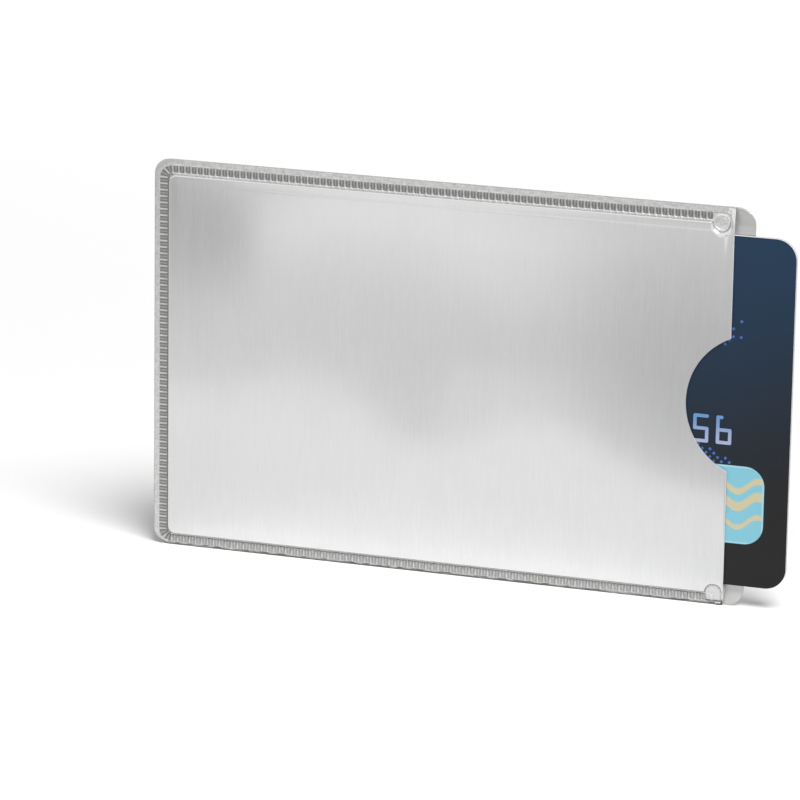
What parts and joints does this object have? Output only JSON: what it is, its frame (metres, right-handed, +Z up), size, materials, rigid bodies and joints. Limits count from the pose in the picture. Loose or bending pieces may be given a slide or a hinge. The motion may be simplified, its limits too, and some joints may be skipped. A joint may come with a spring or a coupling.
{
  "type": "rfid card sleeve",
  "caption": "Flat shielding sleeve for a bank card: two foil-lined sheets welded on three sides by a knurled seam, with a thumb notch and tab at the mouth and a card partly drawn out.",
  "frame": {"origin": "middle of the sleeve's bottom edge, halfway through its thickness", "axes": "+X along the long side towards the mouth and the card, +Y from the front sheet to the back sheet, +Z up from the edge it stands on"},
  "size_m": [0.1018, 0.0016, 0.0616],
  "materials": {
    "cover_film": "metallised film, brushed across",
    "shield_foil": "rolled foil",
    "lining": "smooth, light grey",
    "weld": "melted film",
    "weld_spot": "melted film, pressed",
    "card_front_print": "dark blue print under satin laminate",
    "card_core": "white core",
    "card_inlay": "off-white inlay",
    "antenna_copper": "copper track",
    "card_back_print": "dark blue print under satin laminate",
    "chip_tape": "glass-fibre tape",
    "contact_gold": "gold plate",
    "chip_resin": "black resin",
    "digit_print": "pale blue foil print",
    "patch_foil": "light blue printed foil",
    "magnetic_stripe": "dark magnetic coating",
    "signature_panel": "matt writing panel"
  },
  "bodies": {
    "sleeve": {"front_cover_film": "cover_film", "front_shield_foil": "shield_foil", "front_lining": "lining", "back_cover_film": "cover_film", "back_shield_foil": "shield_foil", "back_lining": "lining", "top_weld": "weld", "end_weld": "weld", "bottom_weld": "weld", "top_mouth_weld_spot": "weld_spot", "bottom_mouth_weld_spot": "weld_spot"},
    "card": {"card_front_overlay": "card_front_print", "card_front_core": "card_core", "card_antenna_inlay": "card_inlay", "card_antenna_coil": "antenna_copper", "card_back_core": "card_core", "card_back_overlay": "card_back_print", "card_chip_carrier": "chip_tape", "card_chip_contacts": "contact_gold", "card_chip_capsule": "chip_resin", "card_number_digits": "digit_print", "card_security_patch": "patch_foil", "card_magnetic_stripe": "magnetic_stripe", "card_signature_panel": "signature_panel"}
  },
  "joints": [
    {"name": "card_slide", "type": "slide", "parent": "sleeve", "child": "card", "axis": [1, 0, 0], "range_m": [-0.0123, 0.08]}
  ]
}
